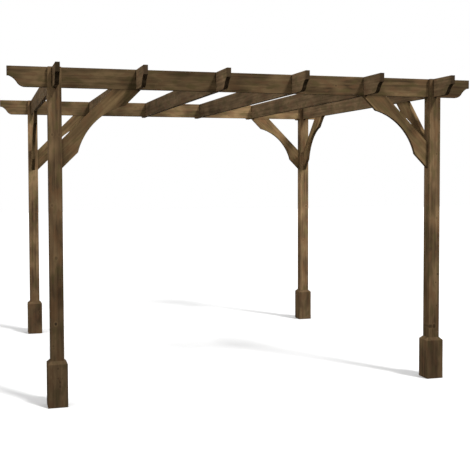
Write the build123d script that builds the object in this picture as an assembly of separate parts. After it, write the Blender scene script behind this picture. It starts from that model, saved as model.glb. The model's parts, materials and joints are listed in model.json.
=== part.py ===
from build123d import *
import os

# A free-standing timber pergola, in millimetres, +Z up.
# +X runs along the two beams, +Y along the six rafters, from the front to the back.
# The origin is on the ground, midway between the four posts.

# Plan and height
post_spacing = 3000.0
overall_height = 2425.0
overhang = 325.0
rafter_count = 6

# Sawn and planed sections
post_width = 95.0
board_depth = 145.0
board_thickness = 32.0
post_arris = 3.0
board_arris = 1.5

# Ogee cut on both ends of every beam and rafter
nose_height = 67.0
step_run = 13.0
cove_run = 55.0
cove_drop = 46.0
cove_sagitta = 6.0
ovolo_run = 49.0
ovolo_sagitta = 6.5

# Joints: a cross slot in each post head, and halvings where a rafter crosses a beam
slot_clearance = 1.0
halving_depth = board_depth / 2

# Braces: a board set at 45 degrees, its inner edge cut to an arch between two straight ends
brace_outer_leg = 368.0
brace_end_run = 115.0
arch_sagitta = 67.0

# Cladding round each post's foot
foot_board_thickness = 23.0
foot_board_height = 334.0

# Worked out from the sizes above
half_spacing = post_spacing / 2
half_length = half_spacing + overhang
underside = overall_height - board_depth
slot_width = board_thickness + slot_clearance
rafter_pitch = post_spacing / (rafter_count - 1)
rafter_places = [i * rafter_pitch - half_spacing for i in range(rafter_count)]
beam_places = [-half_spacing, half_spacing]
brace_inner_leg = brace_outer_leg + board_depth * 2**0.5
sides_x = {"left": -1, "right": 1}
sides_y = {"front": -1, "back": 1}


def planed_board(face, grain):
    """A board of the outline's shape, centred on the XZ plane, with the arrises along its grain planed off."""
    board = extrude(face, amount=board_thickness / 2, both=True).clean()
    arrises = board.edges().filter_by(grain)
    return chamfer(arrises, board_arris)


def ogee_timber():
    """A beam or rafter along X: level top and underside, and an ogee rising to an upright nose at each end."""
    top = board_depth
    with BuildSketch(Plane.XZ) as outline:
        with BuildLine():
            nose_top = (half_length, top)
            nose_foot = (half_length, top - nose_height)
            cove_start = (half_length - step_run, top - nose_height)
            turn = (cove_start[0] - cove_run, cove_start[1] - cove_drop)
            ovolo_end = (turn[0] - ovolo_run, 0)
            Polyline((0, top), nose_top, nose_foot, cove_start)
            SagittaArc(cove_start, turn, -cove_sagitta)
            SagittaArc(turn, ovolo_end, ovolo_sagitta)
            Line(ovolo_end, (0, 0))
            mirror(about=Plane.YZ)
        make_face()
    return planed_board(outline.sketch, Axis.X)


def halving(place, low_z):
    """The block that a crossing board takes out of a board along X, 'place' along it, from low_z up."""
    block = Box(slot_width, board_thickness * 2, halving_depth)
    return Pos(place, 0, low_z + halving_depth / 2) * block


def beam():
    """A beam along X, halved from above for each rafter."""
    return ogee_timber() - [halving(place, halving_depth) for place in rafter_places]


def rafter():
    """A rafter along Y, halved from below for each beam."""
    along_x = ogee_timber() - [halving(place, 0) for place in beam_places]
    return Rot(0, 0, 90) * along_x


def post():
    """A square post with a cross slot in its head, which leaves a prong at each corner."""
    stick = Box(post_width, post_width, overall_height, align=(Align.CENTER, Align.CENTER, Align.MIN))
    stick = chamfer(stick.edges().filter_by(Axis.Z), post_arris)
    slot = Box(slot_width, post_width * 2, board_depth, align=(Align.CENTER, Align.CENTER, Align.MAX))
    head = Pos(0, 0, overall_height)
    return stick - head * slot - head * Rot(0, 0, 90) * slot


def brace():
    """An arched brace along +X, under a beam, from the corner of post face and beam underside at the origin."""
    with BuildSketch(Plane.XZ) as outline:
        with BuildLine():
            high_shoulder = (brace_inner_leg - brace_end_run, -brace_end_run)
            low_shoulder = (brace_end_run, brace_end_run - brace_inner_leg)
            SagittaArc(high_shoulder, low_shoulder, -arch_sagitta)
            Polyline(
                low_shoulder,
                (0, -brace_inner_leg),
                (0, -brace_outer_leg),
                (brace_outer_leg, 0),
                (brace_inner_leg, 0),
                high_shoulder,
            )
        make_face()
    return planed_board(outline.sketch, Axis((0, 0, 0), (1, 0, 1)))


def foot_board():
    """A board that clads the post's +X face, mitred to its two neighbours, with its top cut to a full bevel."""
    inner = post_width / 2
    outer = inner + foot_board_thickness
    bevel_foot = foot_board_height - foot_board_thickness
    with BuildSketch(Plane.XY) as plan:
        with BuildLine():
            Polyline((inner, -inner), (outer, -outer), (outer, outer), (inner, inner), close=True)
        make_face()
    with BuildSketch(Plane.XZ) as side:
        with BuildLine():
            Polyline((inner, 0), (outer, 0), (outer, bevel_foot), (inner, foot_board_height), close=True)
        make_face()
    mitred = extrude(plan.sketch, amount=foot_board_height)
    return mitred & extrude(side.sketch, amount=outer, both=True)


def save(shape, node):
    export_step(shape, f"parts/{node}.step")


os.makedirs("parts", exist_ok=True)

one_post = post()
one_beam = beam()
one_rafter = rafter()
one_brace = brace()
one_foot_board = foot_board()

for depth_name, depth_side in sides_y.items():
    y = depth_side * half_spacing
    save(Pos(0, y, underside) * one_beam, f"{depth_name}_beam")

for number, x in enumerate(rafter_places, start=1):
    save(Pos(x, 0, underside) * one_rafter, f"rafter_{number}")

for depth_name, depth_side in sides_y.items():
    for width_name, width_side in sides_x.items():
        corner = f"{depth_name}_{width_name}"
        x = width_side * half_spacing
        y = depth_side * half_spacing
        save(Pos(x, y, 0) * one_post, f"{corner}_post")

        # One brace lies in the beam's plane and one in the outer rafter's plane
        inner_face = half_spacing - post_width / 2
        beam_turn = 0 if width_side < 0 else 180
        rafter_turn = -90 * depth_side
        beam_brace = Pos(width_side * inner_face, y, underside) * Rot(0, 0, beam_turn) * one_brace
        rafter_brace = Pos(x, depth_side * inner_face, underside) * Rot(0, 0, rafter_turn) * one_brace
        save(beam_brace, f"{corner}_beam_brace")
        save(rafter_brace, f"{corner}_rafter_brace")

        for face_name, turn in {"right": 0, "back": 90, "left": 180, "front": 270}.items():
            board = Pos(x, y, 0) * Rot(0, 0, turn) * one_foot_board
            save(board, f"{corner}_foot_board_{face_name}")
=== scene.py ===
import json
import math

import bpy
import numpy as np
from mathutils import Matrix, Vector


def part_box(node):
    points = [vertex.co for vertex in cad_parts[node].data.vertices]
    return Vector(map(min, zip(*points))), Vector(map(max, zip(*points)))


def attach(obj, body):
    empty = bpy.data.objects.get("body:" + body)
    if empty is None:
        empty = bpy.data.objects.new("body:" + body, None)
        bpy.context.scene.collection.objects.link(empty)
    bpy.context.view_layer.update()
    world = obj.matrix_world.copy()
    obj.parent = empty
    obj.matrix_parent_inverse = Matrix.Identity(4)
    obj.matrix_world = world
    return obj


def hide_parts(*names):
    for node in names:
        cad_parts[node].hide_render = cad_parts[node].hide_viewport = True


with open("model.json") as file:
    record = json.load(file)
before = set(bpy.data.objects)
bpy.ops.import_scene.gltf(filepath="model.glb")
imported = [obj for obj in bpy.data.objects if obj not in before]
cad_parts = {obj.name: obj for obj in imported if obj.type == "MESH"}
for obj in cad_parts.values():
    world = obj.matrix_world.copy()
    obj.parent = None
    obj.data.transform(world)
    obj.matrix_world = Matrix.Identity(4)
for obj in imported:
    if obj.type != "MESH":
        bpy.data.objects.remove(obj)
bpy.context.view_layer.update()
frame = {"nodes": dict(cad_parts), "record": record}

# A garden pergola of brown-stained softwood. Each timber is a closed skin of numpy grids, worked out
# in its own axes: along the grain, across the board, and through its thickness.
MM = 0.001
ALONG_X = Vector((1, 0, 0))
ALONG_Y = Vector((0, 1, 0))
UP = Vector((0, 0, 1))

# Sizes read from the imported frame, in metres
beam_low, beam_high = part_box("front_beam")
post_low, post_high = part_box("front_left_post")
BOARD_DEPTH = beam_high.z - beam_low.z
BOARD_THICKNESS = beam_high.y - beam_low.y
UNDERSIDE = beam_low.z
POST_WIDTH = post_high.x - post_low.x
RAFTERS = [f"rafter_{number}" for number in range(1, 7)]
BEAMS = ["front_beam", "back_beam"]
CORNERS = {
    "front_left": (1, 1),
    "front_right": (-1, 1),
    "back_left": (1, -1),
    "back_right": (-1, -1),
}

# Sizes that a box can't give, as the solids have them
SLOT_WIDTH = BOARD_THICKNESS + 1.0 * MM
NOSE_HEIGHT = 67 * MM
STEP_RUN = 13 * MM
COVE_RUN = 55 * MM
COVE_DROP = 46 * MM
COVE_SAGITTA = 6 * MM
OVOLO_RUN = 49 * MM
OVOLO_SAGITTA = 6.5 * MM
BRACE_END_RUN = 115 * MM
ARCH_SAGITTA = 67 * MM

# Rounding of the long edges, the finest step beside it, and the mesh's usual steps
POST_ARRIS = 3.2 * MM
BOARD_ARRIS = 2.2 * MM
MITRE_ARRIS = 1.4 * MM
BESIDE_ARRIS = 0.8 * MM
STEP_ALONG = 12 * MM
STEP_ACROSS = 9 * MM
STEP_IN_CURVES = 4 * MM

# How near an exact row a step is left out, and the slack with which a row or column is looked up
CLEAR_OF_ROWS = 2 * MM
SLACK = 0.01 * MM

# Hollows left by planing and drying, and how near the arrises and the ends they fade out
BEAM_HOLLOWS = 0.35 * MM
POST_HOLLOWS = 0.5 * MM
BRACE_HOLLOWS = 0.3 * MM
FOOT_HOLLOWS = 0.4 * MM
LONGEST_HOLLOW = 900 * MM
FADE_TO_ARRIS = 7 * MM
FADE_TO_END = 8 * MM

# Cracks that open in a post as it dries: their size, the drift of their line to either side and the run in
# which that turns by a radian, and each one's face, column, start and end in metres
CHECK_HALF_WIDTH = 0.7 * MM
CHECK_DEPTH = 3.5 * MM
CHECK_DRIFT = 2 * MM
CHECK_TURN = 110 * MM
POST_CHECKS = [(0, 4, 0.75, 1.45), (2, 5, 0.4, 0.95)]

# How far a knot is felt in the grain and over what last stretch that fades, in knot radii, and how much
# longer than wide a knot is
KNOT_REACH = 4.0
KNOT_FADE = 1.2
KNOT_STRETCH = 1.25

# How far from a cut end the corners inside a post's cross slot count as lying
SLOT_FROM_END = 50 * MM


def arc_height(run, start, end, sagitta):
    """Height of a circle's arc above a level line: the arc goes from start to end, two (run, height)
    points, and stands off their chord by the sagitta, upwards where that is positive."""
    start, end = np.array(start), np.array(end)
    chord = end - start
    half = np.linalg.norm(chord) / 2
    bulge = abs(sagitta)
    radius = (half**2 + bulge**2) / (2 * bulge)
    upward = np.array([-chord[1], chord[0]]) / (2 * half)
    upward = upward * np.sign(upward[1]) * np.sign(sagitta)
    centre = (start + end) / 2 - upward * (radius - bulge)
    reach = np.sqrt(np.maximum(radius**2 - (run - centre[0]) ** 2, 0))
    return centre[1] + np.sign(sagitta) * reach


def ogee_underside(along, length):
    """Height of an ogee timber's lower edge: nought along the middle, and at each end an ovolo arc and
    then a cove arc that rise to a short level step at the foot of the nose."""
    from_end = np.minimum(along, length - along)
    step_height = BOARD_DEPTH - NOSE_HEIGHT
    cove_start = (STEP_RUN, step_height)
    turn = (STEP_RUN + COVE_RUN, step_height - COVE_DROP)
    ovolo_end = (turn[0] + OVOLO_RUN, 0.0)
    cove = arc_height(from_end, cove_start, turn, COVE_SAGITTA)
    ovolo = arc_height(from_end, turn, ovolo_end, -OVOLO_SAGITTA)
    places = [from_end <= STEP_RUN, from_end <= turn[0], from_end < ovolo_end[0]]
    return np.select(places, [step_height, cove, ovolo], 0.0)


def stations(length, extra=(), fine=()):
    """Places along a timber from 0 to its length: the extra places and the ends of each fine stretch,
    even steps, and finer even steps in each stretch. Steps too near to an exact place are left out."""
    even = np.linspace(0, length, max(2, round(length / STEP_ALONG)) + 1)
    runs = [np.linspace(a, b, max(2, round((b - a) / STEP_IN_CURVES)) + 1) for a, b in fine]
    exact = np.concatenate([np.array(extra, float), *[run[[0, -1]] for run in runs], [0, length]])
    loose = np.concatenate([even, *runs])
    clear = np.abs(loose[:, None] - exact[None]).min(1) > CLEAR_OF_ROWS
    return np.unique(np.round(np.concatenate([loose[clear], exact]), 6))


def section_ring(face_at, edge_at, arris_steps=3):
    """Columns round a rounded rectangle: each has a spot (across, through) on the core rectangle, from 0
    to 1, and the unit direction in which the rounding pushes it out. They run over the near wide face,
    the high edge, the far wide face and the low edge, with a quarter circle of steps at each arris."""
    quarter = np.linspace(0, math.pi / 2, arris_steps + 2)[1:-1]
    sides = [
        (face_at, np.ones_like(face_at), 0.0, 1.0),
        (np.ones_like(edge_at), edge_at[::-1], 1.0, 0.0),
        (face_at[::-1], np.zeros_like(face_at), 0.0, -1.0),
        (np.zeros_like(edge_at), edge_at, -1.0, 0.0),
    ]
    columns = []
    side_of = []
    for number, (across, through, push_across, push_through) in enumerate(sides):
        push = np.array([[push_across, push_through]])
        columns.append(np.column_stack([across, through, np.repeat(push, len(across), 0)]))
        side_of += [number] * len(across)
        following = np.array(sides[(number + 1) % 4][2:])
        turned = np.cos(quarter)[:, None] * push + np.sin(quarter)[:, None] * following
        corner = np.tile(columns[-1][-1, :2], (arris_steps, 1))
        columns.append(np.column_stack([corner, turned]))
        side_of += [-1] * arris_steps
    return np.vstack(columns), np.array(side_of)


def face_columns(width, arris, exact=()):
    """Spots from 0 to 1 across the core of a face: the exact ones, one fine step beside each arris, and
    even steps, of which those within 0.3 of a step of the others are left out."""
    core = width - 2 * arris
    even = np.linspace(0, 1, max(2, round(core / STEP_ACROSS)) + 1)
    fine = BESIDE_ARRIS / core
    exact = np.concatenate([np.array(exact, float), [0, fine, 1 - fine, 1]])
    clear = np.abs(even[:, None] - exact[None]).min(1) > 0.3 * STEP_ACROSS / core
    return np.unique(np.round(np.concatenate([even[clear], exact]), 7))


def ripple(along, across, rng, height):
    """Hollow left by planing and drying, nought or deeper: four sine waves along the grain, each shorter
    and lower than the one before and turning slowly across it, summed and set so that the least is
    nought and the most is the height."""
    turn_width = 50 * MM
    total = 0.0
    for octave in range(4):
        wave = LONGEST_HOLLOW / 2.1**octave
        phase = rng.uniform(0, 2 * math.pi)
        slant = rng.uniform(-2.5, 2.5)
        angle = 2 * math.pi * along / wave + slant * across / turn_width + phase
        total = total + np.sin(angle) / 1.6**octave
    return height * (total - total.min()) / (total.max() - total.min())


class Timber:
    """One timber's grid, in metres: rows along the grain, columns round the section."""

    def __init__(self, name, rows, low, high, thickness, ring, arris, seed):
        """rows are places along the grain. low and high are each row's edge points (along, across). The
        section between them is a rounded rectangle, whose rounding shrinks to a quarter at both ends."""
        self.name = name
        self.rng = np.random.default_rng(seed)
        self.rows = rows
        self.thickness = thickness
        self.columns, self.side = ring
        self.arris = arris
        span = high - low
        self.depth = np.linalg.norm(span, axis=1)
        direction = span / self.depth[:, None]
        from_end = np.minimum(rows - rows[0], rows[-1] - rows)
        inner = np.clip(1 - from_end / arris, 0, 0.97)
        rounding = arris * np.sqrt(1 - inner**2)
        across, through, push_across, push_through = self.columns.T
        offset = arris + across * (self.depth[:, None] - 2 * arris) + rounding[:, None] * push_across
        place = low[:, None, :] + direction[:, None, :] * offset[..., None]
        core = thickness - 2 * arris
        level = -thickness / 2 + arris + through * core + rounding[:, None] * push_through
        self.points = np.dstack([place, level])
        self.taken = np.zeros((len(rows), len(self.columns)), bool)
        self.walls = []
        self.added = np.zeros((0, 3))
        self.open_top = False

    def relief(self, height):
        """Hollows sunk into the wide faces and the edges, fading out at each arris and at both ends."""
        across, through, push_across, push_through = self.columns.T
        from_end = np.minimum(self.rows - self.rows[0], self.rows[-1] - self.rows)[:, None]
        ends = np.clip(from_end / FADE_TO_END, 0, 1)
        for side in range(4):
            chosen = self.side == side
            spot = (across if side % 2 == 0 else through)[chosen]
            width = self.depth.max() if side % 2 == 0 else self.thickness
            to_arris = np.minimum(spot, 1 - spot) * width
            fade = np.clip(to_arris / FADE_TO_ARRIS, 0, 1) * ends
            depth = fade * ripple(self.rows[:, None], spot * width, self.rng, height)
            self.points[:, chosen, 1] -= depth * push_across[chosen]
            self.points[:, chosen, 2] -= depth * push_through[chosen]

    def drying_check(self, side, column, start, end):
        """A long crack in one wide face: three columns draw together along a sine line between start and
        end, and the middle one sinks to the crack's depth, less towards both its ends."""
        places = np.flatnonzero(self.side == side)
        middle = places[column]
        t = np.clip((self.rows - start) / (end - start), 0, 1)
        drawn = np.clip(np.sin(math.pi * t) * 2.2, 0, 1) ** 0.7
        drift = CHECK_DRIFT * np.sin(self.rows / CHECK_TURN + self.rng.uniform(0, 6))
        line = self.points[:, middle, 1] + drift * drawn
        for neighbour, shift in ((middle - 1, -1), (middle, 0), (middle + 1, 1)):
            sign = 1 if self.points[0, middle + 1, 1] > self.points[0, middle, 1] else -1
            target = line + sign * shift * CHECK_HALF_WIDTH
            self.points[:, neighbour, 1] += drawn * (target - self.points[:, neighbour, 1])
        push = self.columns[middle, 3]
        self.points[:, middle, 2] -= push * CHECK_DEPTH * np.sin(math.pi * t) ** 0.6 * (drawn > 0)

    def vertex(self, row, column):
        """Number of the point in a row and a column, counting on round the section past the last one."""
        return row * len(self.columns) + column % len(self.columns)

    def take_block(self, start, end, first, last):
        """A halving: the cells between two rows, from one column on round to another, are taken out, and
        two upright walls and a level floor close the gap."""
        r0, r1 = np.searchsorted(self.rows, [start - SLACK, end - SLACK])
        count = (last - first) % len(self.columns)
        around = (first + np.arange(count + 1)) % len(self.columns)
        self.taken[r0:r1, around[:-1]] = True
        rows = np.arange(r0, r1 + 1)
        self.walls.append(self.vertex(r0, around)[::-1])
        self.walls.append(self.vertex(r1, around))
        self.walls.append(np.concatenate([self.vertex(rows, first), self.vertex(rows[::-1], last)]))

    def take_cross_slot(self, start, half):
        """Two crossed slots in a post's head, from a row up: their cells are taken out on all four faces,
        and each prong left gets its two inner walls and its own top. A level cross closes the bottom."""
        r0 = int(np.searchsorted(self.rows, start - SLACK))
        last = len(self.rows) - 1
        rows = np.arange(r0, last + 1)
        spans = []
        for side in range(4):
            places = np.flatnonzero(self.side == side)
            axis = 1 if side % 2 == 0 else 2
            centre = 0.5 * (self.points[r0, places[0], axis] + self.points[r0, places[-1], axis])
            inside = np.abs(self.points[r0, places, axis] - centre) < half + SLACK
            spans.append(places[inside][[0, -1]])
            self.taken[r0:, np.arange(*spans[-1])] = True
        floor = []
        grid_size = self.points[..., 0].size
        for side in range(4):
            leaves, reaches = spans[side][1], spans[(side + 1) % 4][0]
            edge = self.points[:, [leaves, reaches % len(self.columns)], :]
            axis = 1 if side % 2 == 0 else 2
            corner = edge[[r0, last], 0].copy()
            corner[:, 3 - axis] = edge[[r0, last], 1][:, 3 - axis]
            bottom = grid_size + len(self.added)
            self.added = np.vstack([self.added, corner])
            self.walls.append(np.concatenate([self.vertex(rows, leaves)[::-1], [bottom, bottom + 1]]))
            self.walls.append(np.concatenate([self.vertex(rows, reaches), [bottom + 1, bottom]]))
            count = (reaches - leaves) % len(self.columns)
            top = self.vertex(last, leaves + np.arange(count + 1))
            self.walls.append(np.concatenate([top, [bottom + 1]])[::-1])
            floor += [self.vertex(r0, np.arange(spans[side][0], leaves + 1)), [bottom]]
        self.walls.append(np.concatenate(floor)[::-1])
        self.open_top = True

    def polygons(self):
        """Faces: a four-sided one for each cell that is left, the walls, and a flat cap on each end."""
        count = len(self.columns)
        row, column = np.nonzero(~self.taken[:-1])
        here, after = row * count + column, row * count + (column + 1) % count
        cells = np.column_stack([here, here + count, after + count, after])
        caps = [np.arange(count)]
        if not self.open_top:
            caps.append(self.vertex(len(self.rows) - 1, np.arange(count))[::-1])
        return cells.tolist(), [list(map(int, wall)) for wall in self.walls + caps]

    def build(self, origin, along, across, knots, pith, tones_with_painted_light):
        """Sets the mesh in its place, with the timber's own axes kept as attributes for its material.
        tones_with_painted_light holds how pale it came at even steps from first row to last, run straight
        between them, and on some timbers painted light and shade."""
        through = along.cross(across)
        axes = np.array([along, across, through])
        local = np.vstack([self.points.reshape(-1, 3), self.added])
        length = self.rows[-1]
        wear = np.zeros(self.points.shape[:2])
        wear[:, self.side < 0] = 1
        wear[[0, -1]] = 1
        wear = np.concatenate([wear.ravel(), np.zeros(len(self.added))])
        from_end = np.repeat(np.minimum(self.rows, length - self.rows), len(self.columns))
        from_end = np.concatenate([from_end, np.full(len(self.added), SLOT_FROM_END)])
        cells, flat = self.polygons()
        used, renumbered = np.unique(np.concatenate([np.ravel(cells), *flat]), return_inverse=True)
        split = np.cumsum([4] * len(cells) + [len(face) for face in flat])[:-1]
        faces = [face.tolist() for face in np.split(renumbered.ravel(), split)]
        local = local[used]
        mesh = bpy.data.meshes.new(self.name)
        mesh.from_pydata((np.array(origin) + local @ axes).tolist(), [], faces)
        mesh.polygons.foreach_set("use_smooth", [True] * len(cells) + [False] * len(flat))
        centred = local - [0, self.depth.max() / 2, 0]
        put_vectors(mesh, "timber", centred + pith)
        put_vectors(mesh, "grain_way", np.tile(axes[0], (len(local), 1)))
        put_vectors(mesh, "knot", knot_coordinates(centred, knots))
        put_values(mesh, "wear", wear[used])
        put_values(mesh, "from_end", from_end[used])
        put_values(mesh, "tone_with_painted_light", np.interp(local[:, 0], np.linspace(0, length, len(tones_with_painted_light)), tones_with_painted_light))
        mesh.update()
        piece = bpy.data.objects.new(self.name, mesh)
        bpy.context.scene.collection.objects.link(piece)
        return piece


def put_values(mesh, name, values):
    """Keeps one number for each point as an attribute of the mesh."""
    layer = mesh.attributes.new(name, "FLOAT", "POINT")
    layer.data.foreach_set("value", np.ascontiguousarray(values, np.float32))


def put_vectors(mesh, name, values):
    """Keeps three numbers for each point as an attribute of the mesh."""
    layer = mesh.attributes.new(name, "FLOAT_VECTOR", "POINT")
    layer.data.foreach_set("vector", np.ascontiguousarray(values, np.float32).ravel())


def knot_coordinates(local, knots):
    """For each point its nearest knot: how far along and across it lies, in knot radii, and a weight
    that is the knot's strength near it and fades to nought at the knot's reach."""
    answer = np.zeros((len(local), 3))
    best = np.full(len(local), KNOT_REACH)
    for along, across, radius, strength in knots:
        d_along = (local[:, 0] - along) / (KNOT_STRETCH * radius)
        d_across = (local[:, 1] - across) / radius
        distance = np.hypot(d_along, d_across)
        nearer = distance < best
        best = np.where(nearer, distance, best)
        weight = strength * np.clip((KNOT_REACH - distance) / KNOT_FADE, 0, 1)
        answer[nearer] = np.column_stack([d_along, d_across, weight])[nearer]
    return answer


def ogee_timber(name, along_axis, halvings, from_above, seed):
    """A beam or rafter: level top, ogee ends, and a halving at each crossing."""
    low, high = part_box(name)
    length = (high - low).dot(along_axis)
    shaped = STEP_RUN + COVE_RUN + OVOLO_RUN
    breaks = [STEP_RUN, STEP_RUN + COVE_RUN]
    breaks += [length - place for place in breaks]
    cuts = [place + side * SLOT_WIDTH / 2 for place in halvings for side in (-1, 1)]
    ends = end_rows(length, BOARD_ARRIS)
    rows = stations(length, [*breaks, *cuts, *ends], [(0, shaped), (length - shaped, length)])
    underside = ogee_underside(rows, length)
    ring = section_ring(
        face_columns(BOARD_DEPTH, BOARD_ARRIS, [0.5]), face_columns(BOARD_THICKNESS, BOARD_ARRIS)
    )
    timber = Timber(
        name + "_timber",
        rows,
        np.column_stack([rows, underside]),
        np.column_stack([rows, np.full_like(rows, BOARD_DEPTH)]),
        BOARD_THICKNESS,
        ring,
        BOARD_ARRIS,
        seed,
    )
    timber.relief(BEAM_HOLLOWS)
    near = np.flatnonzero(timber.side == 0)
    far = np.flatnonzero(timber.side == 2)
    middle_near = near[np.argmin(np.abs(timber.columns[near, 0] - 0.5))]
    middle_far = far[np.argmin(np.abs(timber.columns[far, 0] - 0.5))]
    for place in halvings:
        start, end = place - SLOT_WIDTH / 2, place + SLOT_WIDTH / 2
        if from_above:
            timber.take_block(start, end, middle_near, middle_far)
        else:
            timber.take_block(start, end, middle_far, middle_near)
    across_middle = Vector((low + high) / 2)
    origin = across_middle - along_axis * length / 2
    origin.z = low.z
    return timber, origin, along_axis, UP


def end_rows(length, arris):
    """Rows that round an end: four places inside the arris at each end."""
    near = arris * np.array([0.15, 0.35, 0.65, 1.0])
    return [*near, *(length - near)]


def post_timber(corner, seed):
    """A square post with a cross slot in its head."""
    low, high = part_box(corner + "_post")
    length = high.z - low.z
    core = POST_WIDTH - 2 * POST_ARRIS
    slot_sides = [0.5 - SLOT_WIDTH / 2 / core, 0.5 + SLOT_WIDTH / 2 / core]
    rows = stations(length, [UNDERSIDE - low.z, *end_rows(length, POST_ARRIS)])
    spots = face_columns(POST_WIDTH, POST_ARRIS, slot_sides)
    flat = np.zeros_like(rows)
    timber = Timber(
        corner + "_post_timber",
        rows,
        np.column_stack([rows, flat]),
        np.column_stack([rows, flat + POST_WIDTH]),
        POST_WIDTH,
        section_ring(spots, spots),
        POST_ARRIS,
        seed,
    )
    timber.relief(POST_HOLLOWS)
    for side, column, start, end in POST_CHECKS:
        shift = timber.rng.uniform(-0.25, 0.35)
        timber.drying_check(side, column, start + shift, end + shift)
    timber.take_cross_slot(UNDERSIDE - low.z, SLOT_WIDTH / 2)
    centre = (low + high) / 2
    origin = Vector((centre.x - POST_WIDTH / 2, centre.y, low.z))
    return timber, origin, UP, ALONG_X


def brace_timber(corner, kind, seed):
    """An arched brace: ruled between its straight outer edge and its inner edge, whose middle is an arc.
    The first and last rows slant, because both ends are mitred to 45 degrees."""
    low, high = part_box(f"{corner}_{kind}_brace")
    side_x, side_y = CORNERS[corner]
    level = ALONG_X * side_x if kind == "beam" else ALONG_Y * side_y
    inner_leg = high.z - low.z
    outer_leg = inner_leg - BOARD_DEPTH * math.sqrt(2)
    outer_length, inner_length = outer_leg * math.sqrt(2), inner_leg * math.sqrt(2)
    shoulder = BRACE_END_RUN * math.sqrt(2)
    rows = stations(
        inner_length,
        [*end_rows(inner_length, BOARD_ARRIS), shoulder, inner_length - shoulder],
        [(shoulder, inner_length - shoulder)],
    )
    share = rows / inner_length
    arch = arc_height(rows, (shoulder, BOARD_DEPTH), (inner_length - shoulder, BOARD_DEPTH), -ARCH_SAGITTA)
    in_arch = (rows > shoulder) & (rows < inner_length - shoulder)
    inner = np.where(in_arch, arch, BOARD_DEPTH)
    ring = section_ring(
        face_columns(BOARD_DEPTH, BOARD_ARRIS), face_columns(BOARD_THICKNESS, BOARD_ARRIS)
    )
    timber = Timber(
        f"{corner}_{kind}_brace_timber",
        rows,
        np.column_stack([share * outer_length, np.zeros_like(rows)]),
        np.column_stack([rows - (inner_length - outer_length) / 2, inner]),
        BOARD_THICKNESS,
        ring,
        BOARD_ARRIS,
        seed,
    )
    timber.relief(BRACE_HOLLOWS)
    middle = (low + high) / 2
    post_side = middle - level * inner_leg / 2
    origin = Vector((post_side.x, post_side.y, high.z - outer_leg))
    return timber, origin, (level + UP).normalized(), (level - UP).normalized()


def foot_board_timber(corner, face, outward, seed):
    """A cladding board on a post's foot: its sides slope in to the mitres with its neighbours, and its
    rows are sheared more and more towards the top, which is one bevel."""
    low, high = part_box(f"{corner}_foot_board_{face}")
    height = high.z - low.z
    thickness = abs((high - low).dot(outward))
    across = outward.cross(UP)
    width = abs((high - low).dot(across))
    rows = stations(height, end_rows(height, MITRE_ARRIS))
    flat = np.zeros_like(rows)
    ring = section_ring(face_columns(width, MITRE_ARRIS), face_columns(thickness, MITRE_ARRIS))
    timber = Timber(
        f"{corner}_foot_board_{face}_timber",
        rows,
        np.column_stack([rows, flat]),
        np.column_stack([rows, flat + width]),
        thickness,
        ring,
        MITRE_ARRIS,
        seed,
    )
    timber.relief(FOOT_HOLLOWS)
    outer_share = timber.points[..., 2] / thickness + 0.5
    from_middle = timber.points[..., 1] - width / 2
    timber.points[..., 1] -= from_middle * (1 - outer_share) * 2 * thickness / width
    timber.points[..., 0] -= (rows / height)[:, None] * outer_share * thickness
    centre = (low + high) / 2
    origin = Vector((centre.x, centre.y, low.z)) - across * width / 2
    return timber, origin, UP, across


def srgb(code):
    """A colour written as sRGB hex, as linear red, green, blue and an alpha of 1."""
    parts = np.array([int(code[i : i + 2], 16) for i in (1, 3, 5)]) / 255
    linear = np.where(parts <= 0.04045, parts / 12.92, ((parts + 0.055) / 1.055) ** 2.4)
    return (*linear.tolist(), 1.0)


def node(tree, kind, inputs=(), **settings):
    """Adds a node with its settings, and gives its inputs their values or their links. The inputs come
    in the node's own order, or by name or number. A node given as an input stands for its first output."""
    made = tree.nodes.new("ShaderNode" + kind)
    for name, value in settings.items():
        setattr(made, name, value)
    given = inputs if isinstance(inputs, dict) else dict(enumerate(inputs))
    for name, value in given.items():
        if isinstance(value, bpy.types.Node):
            value = value.outputs[0]
        if isinstance(value, bpy.types.NodeSocket):
            tree.links.new(value, made.inputs[name])
        else:
            made.inputs[name].default_value = value
    return made


# Growth rings in plantation softwood are 3 to 6 mm apart. The pith winds, which bends them by up to 50 mm
RING_SPACING = 5 * MM
RING_BEND = 50 * MM

# Fibres are pushed aside beside a strong knot by up to about two thirds of this
KNOT_PUSH = 9 * MM

# Patterns in the wood: how long each patch of it is, how wide, and how rough its noise. The wander bends
# the growth rings, the streaks are groups of rings that took more stain, the clouds are where it took
# unevenly, and the patches are reddish and olive. Real fibres are a few hundredths of a millimetre wide,
# too fine to show, so they are drawn 1.1 mm wide
PATTERNS = {
    "wander": (909.1 * MM, 111.1 * MM, 0.5),
    "streak": (625 * MM, 20 * MM, 0.5),
    "fibre": (40 * MM, 1.111 * MM, 0.6),
    "cloud": (285.7 * MM, 125 * MM, 0.5),
    "patch": (111.1 * MM, 41.67 * MM, 0.5),
}

# How far stain soaks in from a cut end, fading from the second depth to the first, and how unevenly
END_SOAK = (90 * MM, 30 * MM)
SOAK_UNEVENNESS = 80 * MM

# Heights between which the wood comes darker and darker, downwards, and how uneven they are
LOW_DARKENING = (1900 * MM, 100 * MM)
LOW_DARKENING_UNEVENNESS = 300 * MM

# How high the fibres and the hard latewood stand out of the surface
GRAIN_RELIEF = 0.5 * MM


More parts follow.
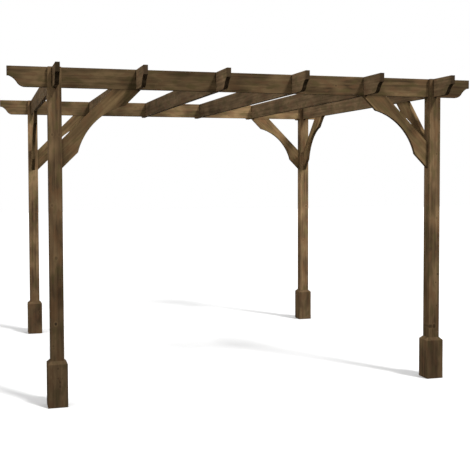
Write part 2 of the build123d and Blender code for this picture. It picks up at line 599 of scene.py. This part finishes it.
def stained_softwood(name, end_grain, clouds, colours):
    """Planed softwood under a brown wood stain, outdoors: dull, with the growth rings showing through.
    The stain takes darker in the latewood and on end grain and thins at the arrises, and the wood comes
    darker towards the ground. end_grain is how dark cut ends come, and clouds how uneven the stain took."""
    material = bpy.data.materials.new(name)
    material.use_nodes = True
    tree = material.node_tree
    tree.nodes.clear()
    dark, light, red, olive, knot_dark = (srgb(code) for code in colours)
    smooth = {"interpolation_type": "SMOOTHSTEP"}

    # What each point of the timber knows of itself, and its distance from the nearest knot in knot radii
    keys = ("timber", "knot", "grain_way", "wear", "from_end", "tone_with_painted_light")
    known = {key: node(tree, "Attribute", attribute_name=key).outputs for key in keys}
    timber = known["timber"]["Vector"]
    place = node(tree, "SeparateXYZ", [timber]).outputs
    knot = node(tree, "SeparateXYZ", [known["knot"]["Vector"]]).outputs
    along_square = node(tree, "Math", [knot[0], knot[0]], operation="MULTIPLY")
    squares = node(tree, "Math", [knot[1], knot[1], along_square], operation="MULTIPLY_ADD")
    knot_distance = node(tree, "Math", [squares], operation="SQRT")

    # Fibres swing round a knot, so the pattern is pushed out from it
    softened = node(tree, "Math", [squares, 0.6], operation="ADD")
    swing = node(tree, "Math", [knot[2], softened], operation="DIVIDE")
    outwards = node(tree, "Math", [knot[1], swing], operation="MULTIPLY")
    pushed = node(tree, "Math", [outwards, -KNOT_PUSH, place[1]], operation="MULTIPLY_ADD")
    flowing = node(tree, "CombineXYZ", [place[0], pushed, place[2]])

    noise = {}
    for key, (length, width, roughness) in PATTERNS.items():
        laid_on = timber if key in ("cloud", "patch") else flowing
        stretch = (1 / length, 1 / width, 1 / width)
        placed = node(tree, "Mapping", {"Vector": laid_on, "Scale": stretch})
        inputs = {"Vector": placed, "Scale": 1.0, "Detail": 2.0, "Roughness": roughness}
        noise[key] = node(tree, "TexNoise", inputs)

    # Growth rings: distance from the pith, bent by a slow wander, and dark in each ring's latewood
    from_pith = node(tree, "CombineXYZ", {1: pushed, 2: place[2]})
    radius = node(tree, "VectorMath", [from_pith], operation="LENGTH").outputs["Value"]
    bent = node(tree, "Math", [noise["wander"], RING_BEND, radius], operation="MULTIPLY_ADD")
    rings = node(tree, "Math", [bent, RING_SPACING], operation="DIVIDE")
    cycle = node(tree, "Math", [rings], operation="FRACT")
    darkening = node(tree, "MapRange", [cycle, 0.35, 0.85, 0.0, 1.0], **smooth)
    before_spring = node(tree, "MapRange", [cycle, 1.0, 0.9, 0.0, 1.0], **smooth)
    latewood = node(tree, "Math", [darkening, before_spring], operation="MULTIPLY")

    # How deep the stain took, from light to dark: streaks, rings, fibres and clouds together
    least = 0.075 - 0.325 * clouds
    most = 0.075 + 0.325 * clouds
    streaked = node(tree, "MapRange", [noise["streak"], 0.32, 0.68, 0.15, 0.5], **smooth)
    ringed = node(tree, "Math", [latewood, 0.12, streaked], operation="MULTIPLY_ADD")
    fibrous = node(tree, "MapRange", [noise["fibre"], 0.35, 0.65, -0.05, 0.07], **smooth)
    clouded = node(tree, "MapRange", [noise["cloud"], 0.34, 0.66, least, most], **smooth)
    uneven = node(tree, "Math", [fibrous, clouded], operation="ADD")
    depth = node(tree, "Math", [ringed, uneven], operation="ADD")

    # Reddish and olive patches, and arrises where the stain wore thin
    reddish = node(tree, "MapRange", [noise["patch"], 0.52, 0.66, 0.0, 0.5], **smooth)
    greenish = node(tree, "MapRange", [noise["patch"], 0.48, 0.34, 0.0, 0.5], **smooth)
    rubbed = node(tree, "MapRange", [noise["cloud"], 0.35, 0.6, 0.03, 0.25], **smooth)
    worn = node(tree, "Math", [known["wear"]["Fac"], rubbed], operation="MULTIPLY")

    # A knot: hard pale wood round it, a dark bark ring at its edge, and finer rings inside it
    beside = node(tree, "MapRange", [knot_distance, 2.4, 1.5, 0.0, 0.45], **smooth)
    pale_ring = node(tree, "Math", [beside, knot[2]], operation="MULTIPLY")
    phase = node(tree, "Math", [knot_distance, 16.0], operation="MULTIPLY")
    wave = node(tree, "Math", [phase], operation="SINE")
    fine_rings = node(tree, "MapRange", [wave, -1.0, 1.0, 0.6, 0.95], **smooth)
    within = node(tree, "MapRange", [knot_distance, 1.3, 0.85, 0.0, 1.0], **smooth)
    ringed_knot = node(tree, "Math", [within, fine_rings], operation="MULTIPLY")
    dark_knot = node(tree, "Math", [ringed_knot, knot[2]], operation="MULTIPLY")

    # End grain soaks up more stain, the more so the squarer the cut, and draws it some way in
    normal = node(tree, "NewGeometry").outputs["Normal"]
    facing = [known["grain_way"]["Vector"], normal]
    squareness = node(tree, "VectorMath", facing, operation="DOT_PRODUCT").outputs["Value"]
    cut = node(tree, "Math", [squareness], operation="ABSOLUTE")
    cut_end = node(tree, "MapRange", [cut, 0.1, 0.75, 0.0, end_grain], **smooth)
    soaking = [noise["cloud"], SOAK_UNEVENNESS, known["from_end"]["Fac"]]
    from_end = node(tree, "Math", soaking, operation="MULTIPLY_ADD")
    drawn_in = node(tree, "MapRange", [from_end, *END_SOAK, 0.0, 0.6 * end_grain], **smooth)

    # The wood comes darker towards the ground
    coordinates = node(tree, "TexCoord").outputs["Object"]
    height = node(tree, "SeparateXYZ", [coordinates]).outputs[2]
    above_ground = node(tree, "Math", [noise["cloud"], LOW_DARKENING_UNEVENNESS, height], operation="MULTIPLY_ADD")
    darker_low = node(tree, "MapRange", [above_ground, *LOW_DARKENING, 0.0, 0.45], **smooth)

    # Each share lays its colour over the ones before. Mix takes its two colours at inputs 6 and 7, and
    # gives the mixed one at output 2
    layers = [
        (depth, dark),
        (reddish, red),
        (greenish, olive),
        (worn, light),
        (pale_ring, light),
        (dark_knot, knot_dark),
        (cut_end, knot_dark),
        (drawn_in, knot_dark),
        (darker_low, knot_dark),
    ]
    wood = light
    for share, colour in layers:
        wood = node(tree, "Mix", {0: share, 6: wood, 7: colour}, data_type="RGBA").outputs[2]
    # The colour is scaled by the tone_with_painted_light attribute: each timber's paleness and, on some
    # timbers, painted light and shade
    toned_with_painted_light = node(tree, "VectorMath", {0: wood, "Scale": known["tone_with_painted_light"]["Fac"]}, operation="SCALE")

    # The fibres and the hard latewood stand up a little, and the fibres roughen the thin, dull stain
    raised_rings = node(tree, "Math", [latewood, 0.4], operation="MULTIPLY")
    relief = node(tree, "Math", [noise["fibre"], 0.6, raised_rings], operation="MULTIPLY_ADD")
    finish = {
        "Base Color": toned_with_painted_light,
        "Roughness": node(tree, "Math", [noise["fibre"], 0.2, 0.75], operation="MULTIPLY_ADD"),
        "Normal": node(tree, "Bump", {"Height": relief, "Strength": 0.45, "Distance": GRAIN_RELIEF}),
        "IOR": 1.5,
        "Specular IOR Level": 0.01,
    }
    surface = node(tree, "BsdfPrincipled", finish)
    node(tree, "OutputMaterial", {"Surface": surface})
    return material


# Of each kind of timber: how dark its end grain is, how cloudy its stain, and then its dark, light,
# reddish, olive and knot colours. In the photograph the foot boards' bevels are no darker than the rest
STAINS = {
    "post_timber": (0.4, 1.0, ("#3d2f21", "#7b6448", "#654a32", "#52492d", "#1e160f")),
    "beam_timber": (0.45, 1.0, ("#362a1d", "#705c41", "#5b432f", "#494127", "#1f1710")),
    "rafter_timber": (0.65, 0.65, ("#423526", "#856e52", "#6d523d", "#584e34", "#1e1710")),
    "brace_timber": (0.9, 0.85, ("#433423", "#876f4e", "#6e5138", "#5a4f31", "#211710")),
    "foot_timber": (0.0, 1.0, ("#392c1f", "#735e44", "#5e4531", "#4c432c", "#1c140e")),
}

# How pale each timber came, beside the usual one of its kind, at even steps from its left, front or lower
# end. On some timbers the steps are also painted light and shade: lighter where more light falls, darker
# where shade falls. A timber takes the first row whose name its own name starts with, or else the plain one
PLAIN_TONE = (1.0, 1.0)
TONES_WITH_PAINTED_LIGHT = {
    "front_left_post": (0.66, 0.82, 0.98),
    "front_left_foot_board": (0.8, 0.8),
    "front_left_beam_brace": (0.7, 0.8),
    "front_left_rafter_brace": (0.75, 0.85),
    "front_right_post": (0.72, 1.12, 0.9),
    # Painted light: this board's left face is in shade and is lightened
    "front_right_foot_board_left": (1.6, 1.6),
    "front_right_foot_board": (0.95, 0.95),
    "front_right_beam_brace": (0.85, 1.1),
    # Painted light on the back right corner's timbers, where more light falls; painted shade at the post's
    # top under the beam and at the beam brace's low end
    "back_right_post": (1.8, 2.25, 0.8),
    "back_right_foot_board": (1.4, 1.4),
    "back_right_beam_brace": (1.0, 2.3),
    "back_right_rafter_brace": (1.45, 1.9),
    "back_left_post": (1.3, 1.5),
    "back_left_foot_board": (1.3, 1.3),
    # Partly painted shade and light along the beams: the front beam darker a quarter along and at its right
    # end, the back beam darker a third along and lighter over its right half
    "front_beam": (0.9, 0.7, 0.8, 1.3, 0.78),
    "back_beam": (1.35, 0.85, 2.0, 2.25),
    "rafter_1": (0.72, 0.66),
    "rafter_2": (1.1, 0.8),
    "rafter_3": (1.2, 0.75, 0.6),
    "rafter_4": (1.05, 0.75, 0.6),
    "rafter_5": (0.85, 0.98),
    "rafter_6": (0.88, 1.25),
}

SLOTS = {part["node"]: part["material_slot"] for part in frame["record"]["subparts"]}
MATERIALS = {
    slot: stained_softwood("brown_stained_softwood_" + slot, *look) for slot, look in STAINS.items()
}

# Knots that show in the photograph: height, place across the piece and radius in metres, and strength
SEEN_KNOTS = {
    "front_left_post": [
        (0.599, -0.010, 0.008, 1.0),
        (1.070, -0.002, 0.009, 0.5),
        (1.445, -0.026, 0.007, 0.5),
    ],
    "front_right_post": [
        (0.425, -0.036, 0.011, 0.8),
        (0.424, 0.002, 0.012, 0.8),
        (0.848, 0.032, 0.007, 0.8),
        (1.305, 0.020, 0.008, 0.4),
    ],
    "back_right_post": [(1.292, 0.020, 0.009, 0.8), (0.904, -0.016, 0.008, 0.6)],
    "front_left_foot_board_front": [
        (0.150, -0.014, 0.006, 0.5),
        (0.183, -0.014, 0.006, 0.6),
        (0.213, 0.000, 0.005, 0.5),
        (0.211, -0.031, 0.004, 0.4),
        (0.283, -0.001, 0.006, 0.6),
    ],
}

# Of each kind of timber, in metres: how far the pith is from its middle, and its knots from each other
GROWTH = {
    "post_timber": (0.012, 0.6),
    "beam_timber": (0.06, 0.8),
    "rafter_timber": (0.05, 0.7),
    "brace_timber": (0.05, 0.9),
    "foot_timber": (0.04, 0.8),
}

# The least and the most of a small knot's radius and strength, and how far its middle stays from the ends
SMALL_KNOTS = ((4 * MM, 0.3), (8 * MM, 0.7))
KNOT_FROM_END = 50 * MM

# How far the pith may lie to either side, and the length of log that a timber is cut somewhere along
PITH_SHIFT = 20 * MM
PATTERN_LENGTH = 30000 * MM


def finish_timber(node_name, made):
    """Gives a timber its pith, its knots and its material, and lets it stand for its node. A knot is a
    place along the timber, a place across it, a radius and a strength."""
    timber, origin, along, across = made
    pith_depth, knot_spacing = GROWTH[SLOTS[node_name]]
    rng = timber.rng
    length = timber.rows[-1]
    count = rng.poisson(length / knot_spacing)
    reach = timber.depth.max() / 2
    least = [KNOT_FROM_END, -reach, *SMALL_KNOTS[0]]
    most = [length - KNOT_FROM_END, reach, *SMALL_KNOTS[1]]
    knots = rng.uniform(least, most, (count, 4)).tolist() + SEEN_KNOTS.get(node_name, [])
    cut_from = rng.uniform(0, PATTERN_LENGTH)
    pith_across = rng.uniform(-PITH_SHIFT, PITH_SHIFT)
    pith = [cut_from, pith_across, pith_depth * rng.choice([-1, 1])]
    rows = [row for start, row in TONES_WITH_PAINTED_LIGHT.items() if node_name.startswith(start)]
    tones_with_painted_light = rows[0] if rows else PLAIN_TONE
    piece = timber.build(origin, along, across, knots, pith, tones_with_painted_light)
    piece.data.materials.append(MATERIALS[SLOTS[node_name]])
    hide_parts(node_name)
    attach(piece, "root")


seeds = {name: number for number, name in enumerate(sorted(frame["nodes"]), start=11)}
beam_start = beam_low.x
rafter_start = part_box("rafter_1")[0].y
rafter_places = [sum(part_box(name), Vector()).x / 2 - beam_start for name in RAFTERS]
beam_places = [sum(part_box(name), Vector()).y / 2 - rafter_start for name in BEAMS]

for name in BEAMS:
    finish_timber(name, ogee_timber(name, ALONG_X, rafter_places, True, seeds[name]))
for name in RAFTERS:
    finish_timber(name, ogee_timber(name, ALONG_Y, beam_places, False, seeds[name]))
for corner in CORNERS:
    name = corner + "_post"
    finish_timber(name, post_timber(corner, seeds[name]))
    for kind in ("beam", "rafter"):
        name = f"{corner}_{kind}_brace"
        finish_timber(name, brace_timber(corner, kind, seeds[name]))
    for face, outward in {"right": ALONG_X, "back": ALONG_Y, "left": -ALONG_X, "front": -ALONG_Y}.items():
        name = f"{corner}_foot_board_{face}"
        finish_timber(name, foot_board_timber(corner, face, outward, seeds[name]))


# Photograph's view: a long lens at standing height, in front and to the left
PICTURE = 470
CAMERA_PLACE = Vector((-1.9712, -7.8229, 1.6749))
CAMERA_YAW = math.radians(16.847)
CAMERA_PITCH = math.radians(2.328)
CAMERA_ROLL = math.radians(-0.110)
FOCAL_PIXELS = 867.107
MIDDLE_PIXEL = (248.845, 207.843)

ahead = Vector(
    (
        math.sin(CAMERA_YAW) * math.cos(CAMERA_PITCH),
        math.cos(CAMERA_YAW) * math.cos(CAMERA_PITCH),
        -math.sin(CAMERA_PITCH),
    )
)
level_right = Vector((math.cos(CAMERA_YAW), -math.sin(CAMERA_YAW), 0))
upward = level_right.cross(ahead)
right = level_right * math.cos(CAMERA_ROLL) + upward * math.sin(CAMERA_ROLL)
upward = right.cross(ahead)
camera_data = bpy.data.cameras.new("camera")
camera_data.sensor_width = 36
camera_data.lens = FOCAL_PIXELS / PICTURE * camera_data.sensor_width
camera_data.shift_x = (PICTURE / 2 - MIDDLE_PIXEL[0]) / PICTURE
camera_data.shift_y = (MIDDLE_PIXEL[1] - PICTURE / 2) / PICTURE
camera = bpy.data.objects.new("camera", camera_data)
turn = Matrix((right, upward, -ahead)).transposed().to_4x4()
camera.matrix_world = Matrix.Translation(CAMERA_PLACE) @ turn
bpy.context.scene.collection.objects.link(camera)
bpy.context.scene.camera = camera


def light_path_mix(tree, shown, other):
    """Mixes two shaders: one for what the camera, gloss and glass see, the other for all other light."""
    path = node(tree, "LightPath").outputs
    seen = path["Is Camera Ray"]
    for ray in ("Is Glossy Ray", "Is Transmission Ray"):
        seen = node(tree, "Math", [seen, path[ray]], operation="MAXIMUM")
    return node(tree, "MixShader", [seen, other, shown])


SKY_STRENGTH = 0.78

# Two broad lamps: strength in watts per square metre, and the way each shines
LAMPS = {
    "soft_key": (3.15, Vector((-0.5, 0.8, -1.0))),
    "soft_fill": (1.2, Vector((1.0, 0.6, -0.6))),
}
LAMP_SPREAD = math.radians(10)
FLOOR_SIZE = 60

world = bpy.data.worlds.new("even_sky")
world.use_nodes = True
tree = world.node_tree
tree.nodes.clear()
white = node(tree, "Background", {"Color": srgb("#ffffff"), "Strength": 1.0})
sky = node(tree, "Background", {"Color": srgb("#ffffff"), "Strength": SKY_STRENGTH})
node(tree, "OutputWorld", {"Surface": light_path_mix(tree, white, sky)})
bpy.context.scene.world = world

for name, (strength, way) in LAMPS.items():
    lamp_data = bpy.data.lights.new(name, "SUN")
    lamp_data.energy = strength
    lamp_data.angle = LAMP_SPREAD
    lamp = bpy.data.objects.new(name, lamp_data)
    lamp.rotation_euler = way.to_track_quat("-Z", "Y").to_euler()
    bpy.context.scene.collection.objects.link(lamp)

floor_material = bpy.data.materials.new("pale_studio_floor")
floor_material.use_nodes = True
tree = floor_material.node_tree
tree.nodes.clear()
pale = node(tree, "BsdfDiffuse", {"Color": srgb("#e4e4e4")})
dim = node(tree, "BsdfDiffuse", {"Color": srgb("#2c2a27")})
node(tree, "OutputMaterial", {"Surface": light_path_mix(tree, pale, dim)})
floor_mesh = bpy.data.meshes.new("floor")
half = FLOOR_SIZE / 2
drop = -0.5 * MM
floor_mesh.from_pydata(
    [(-half, -half, drop), (half, -half, drop), (half, half, drop), (-half, half, drop)], [], [(0, 1, 2, 3)]
)
floor_mesh.materials.append(floor_material)
floor = bpy.data.objects.new("floor", floor_mesh)
bpy.context.scene.collection.objects.link(floor)

bpy.context.scene.view_settings.view_transform = "Standard"
